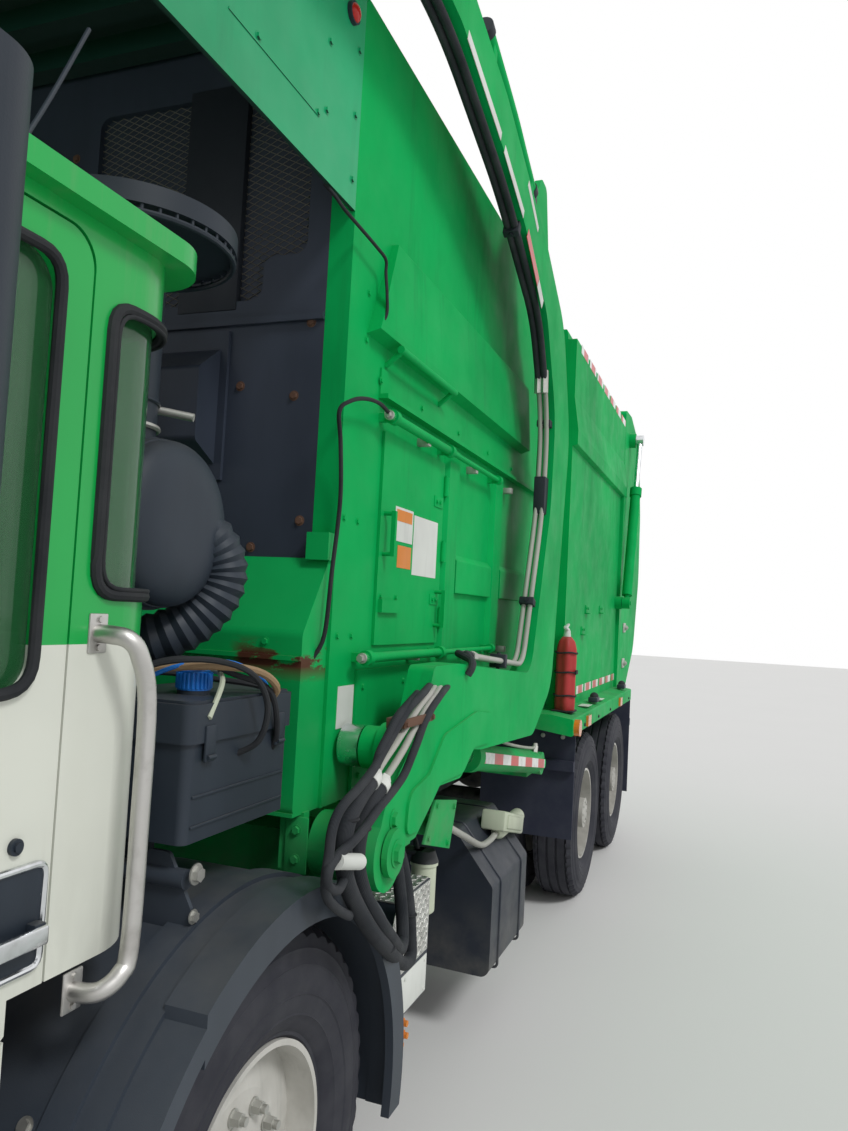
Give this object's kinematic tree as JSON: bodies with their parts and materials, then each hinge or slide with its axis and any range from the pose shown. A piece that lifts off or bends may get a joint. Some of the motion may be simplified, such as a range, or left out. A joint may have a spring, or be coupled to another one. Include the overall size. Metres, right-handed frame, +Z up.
{
  "type": "front-loader garbage truck",
  "caption": "Cab-forward refuse truck with lift arms stowed over the cab, folding forks, open hopper, packer blade and lifting tailgate",
  "frame": {"origin": "on the ground under the middle of the whole length and width", "axes": "+X forward, +Y to the truck's left, +Z up"},
  "size_m": [8.899, 3.08, 4.0917],
  "materials": {
    "body_green": "gloss fleet green with dirt streaks",
    "cab_paint": "green above, off-white below",
    "chassis_black": "dusty satin black",
    "black_plastic": "weathered black plastic",
    "tinted_glass": "green tinted",
    "rod_chrome": "polished hard chrome",
    "rubber": "dull",
    "lamp_plastic": "lens plastic",
    "tyre": "dusty tyre rubber",
    "rim_white": "dirty white enamel"
  },
  "bodies": {
    "root": {"frame": "chassis_black", "bumpers": "chassis_black", "axles": "chassis_black", "engine": "chassis_black", "front_fenders": "black_plastic", "cab_roof": "cab_paint", "cab_front": "cab_paint", "cab_rear": "cab_paint", "cab_floor": "cab_paint", "cab_glass": "tinted_glass", "cab_interior": "black_plastic", "air_intake": "black_plastic", "fluid_box": "black_plastic", "side_tanks": "chassis_black", "body_floor": "body_green", "hopper_side_left": "body_green", "hopper_side_right": "body_green", "hopper_front": "body_green", "front_screen": "chassis_black", "canopy": "body_green", "body_side_left": "body_green", "body_side_right": "body_green", "body_roof": "body_green", "rear_fenders": "body_green", "mud_flaps": "rubber", "lamps": "lamp_plastic", "arm_mounts": "body_green"},
    "packer": {"packer_blade": "body_green"},
    "arms": {"arm_left": "body_green", "arm_right": "body_green", "arm_cross_tube": "body_green"},
    "forks": {"forks": "body_green"},
    "lift_barrels": {"lift_barrels": "body_green"},
    "lift_rods": {"lift_rods": "rod_chrome"},
    "fork_barrels": {"fork_barrels": "body_green"},
    "fork_rods": {"fork_rods": "rod_chrome"},
    "tailgate": {"tailgate": "body_green"},
    "tailgate_barrels": {"tailgate_barrels": "body_green"},
    "tailgate_rods": {"tailgate_rods": "rod_chrome"},
    "hopper_door": {"hopper_door": "body_green"},
    "door_left": {"door_left": "cab_paint", "door_glass_left": "tinted_glass", "mirror_left": "black_plastic"},
    "knuckle_left": {"knuckle_left": "chassis_black"},
    "wheel_front_left": {"tyre_front_left": "tyre", "rim_front_left": "rim_white"},
    "wheel_middle_left": {"tyres_middle_left": "tyre", "rims_middle_left": "rim_white"},
    "wheel_rear_left": {"tyres_rear_left": "tyre", "rims_rear_left": "rim_white"},
    "door_right": {"door_right": "cab_paint", "door_glass_right": "tinted_glass", "mirror_right": "black_plastic"},
    "knuckle_right": {"knuckle_right": "chassis_black"},
    "wheel_front_right": {"tyre_front_right": "tyre", "rim_front_right": "rim_white"},
    "wheel_middle_right": {"tyres_middle_right": "tyre", "rims_middle_right": "rim_white"},
    "wheel_rear_right": {"tyres_rear_right": "tyre", "rims_rear_right": "rim_white"}
  },
  "joints": [
    {"name": "arms_lift", "type": "hinge", "parent": "root", "child": "arms", "pos_m": [1.89, 0, 1.17], "axis": [0, -1, 0], "range_deg": [-56, 30]},
    {"name": "forks_tilt", "type": "hinge", "parent": "arms", "child": "forks", "pos_m": [3.9, 0, 3.8], "axis": [0, -1, 0], "range_deg": [-118, 0]},
    {"name": "lift_barrels_swing", "type": "hinge", "parent": "root", "child": "lift_barrels", "pos_m": [-0.55, 0, 1.03], "axis": [0, -1, 0], "range_deg": [-0.2284, 0.4156]},
    {"name": "lift_rods_slide", "type": "slide", "parent": "lift_barrels", "child": "lift_rods", "axis": [0.9866, 0, 0.1633], "range_m": [-0.1356, 0.2467]},
    {"name": "fork_barrels_swing", "type": "hinge", "parent": "arms", "child": "fork_barrels", "pos_m": [0.33, 0, 3.69], "axis": [0, -1, 0], "range_deg": [-1.66, 0.03]},
    {"name": "fork_rods_slide", "type": "slide", "parent": "fork_barrels", "child": "fork_rods", "axis": [0.996, 0, 0.0891], "range_m": [-0.0103, 0.5231]},
    {"name": "tailgate_lift", "type": "hinge", "parent": "root", "child": "tailgate", "pos_m": [-3.11, 0, 3.56], "axis": [0, 1, 0], "range_deg": [0, 80]},
    {"name": "tailgate_barrels_swing", "type": "hinge", "parent": "root", "child": "tailgate_barrels", "pos_m": [-2.95, 0, 1.95], "axis": [0, -1, 0], "range_deg": [-6.83, 0.13]},
    {"name": "tailgate_rods_slide", "type": "slide", "parent": "tailgate_barrels", "child": "tailgate_rods", "axis": [-0.3304, 0, 0.9439], "range_m": [-0.0092, 0.4713]},
    {"name": "packer_push", "type": "slide", "parent": "root", "child": "packer", "axis": [-1, 0, 0], "range_m": [0, 1.9]},
    {"name": "hopper_door_swing", "type": "hinge", "parent": "root", "child": "hopper_door", "pos_m": [1.035, 1.085, 2], "axis": [0, 0, 1], "range_deg": [0, 100]},
    {"name": "door_left_swing", "type": "hinge", "parent": "root", "child": "door_left", "pos_m": [4.09, 1.101, 1.6], "axis": [0, 0, -1], "range_deg": [0, 70]},
    {"name": "steer_left", "type": "hinge", "parent": "root", "child": "knuckle_left", "pos_m": [2.3, 0.85, 0.538], "axis": [0, 0, 1], "range_deg": [-35, 35]},
    {"name": "roll_front_left", "type": "hinge", "parent": "knuckle_left", "child": "wheel_front_left", "pos_m": [2.3, 1.05, 0.538], "axis": [0, 1, 0], "continuous": true},
    {"name": "roll_middle_left", "type": "hinge", "parent": "root", "child": "wheel_middle_left", "pos_m": [-1.811, 0.8925, 0.525], "axis": [0, 1, 0], "continuous": true},
    {"name": "roll_rear_left", "type": "hinge", "parent": "root", "child": "wheel_rear_left", "pos_m": [-3.161, 0.8925, 0.525], "axis": [0, 1, 0], "continuous": true},
    {"name": "door_right_swing", "type": "hinge", "parent": "root", "child": "door_right", "pos_m": [4.09, -1.101, 1.6], "axis": [0, 0, 1], "range_deg": [0, 70]},
    {"name": "steer_right", "type": "hinge", "parent": "root", "child": "knuckle_right", "pos_m": [2.3, -0.85, 0.538], "axis": [0, 0, 1], "range_deg": [-35, 35]},
    {"name": "roll_front_right", "type": "hinge", "parent": "knuckle_right", "child": "wheel_front_right", "pos_m": [2.3, -1.05, 0.538], "axis": [0, 1, 0], "continuous": true},
    {"name": "roll_middle_right", "type": "hinge", "parent": "root", "child": "wheel_middle_right", "pos_m": [-1.811, -0.8925, 0.525], "axis": [0, 1, 0], "continuous": true},
    {"name": "roll_rear_right", "type": "hinge", "parent": "root", "child": "wheel_rear_right", "pos_m": [-3.161, -0.8925, 0.525], "axis": [0, 1, 0], "continuous": true}
  ],
  "couplings": [
    {"joint": "lift_barrels_swing", "follows": "arms_lift", "ratio": -0.0072},
    {"joint": "lift_rods_slide", "follows": "arms_lift", "m_per_rad": -0.2449},
    {"joint": "fork_barrels_swing", "follows": "forks_tilt", "ratio": 0.0138},
    {"joint": "fork_rods_slide", "follows": "forks_tilt", "m_per_rad": -0.249},
    {"joint": "tailgate_barrels_swing", "follows": "tailgate_lift", "ratio": -0.0837},
    {"joint": "tailgate_rods_slide", "follows": "tailgate_lift", "m_per_rad": 0.3309},
    {"joint": "steer_right", "follows": "steer_left", "ratio": 1}
  ]
}
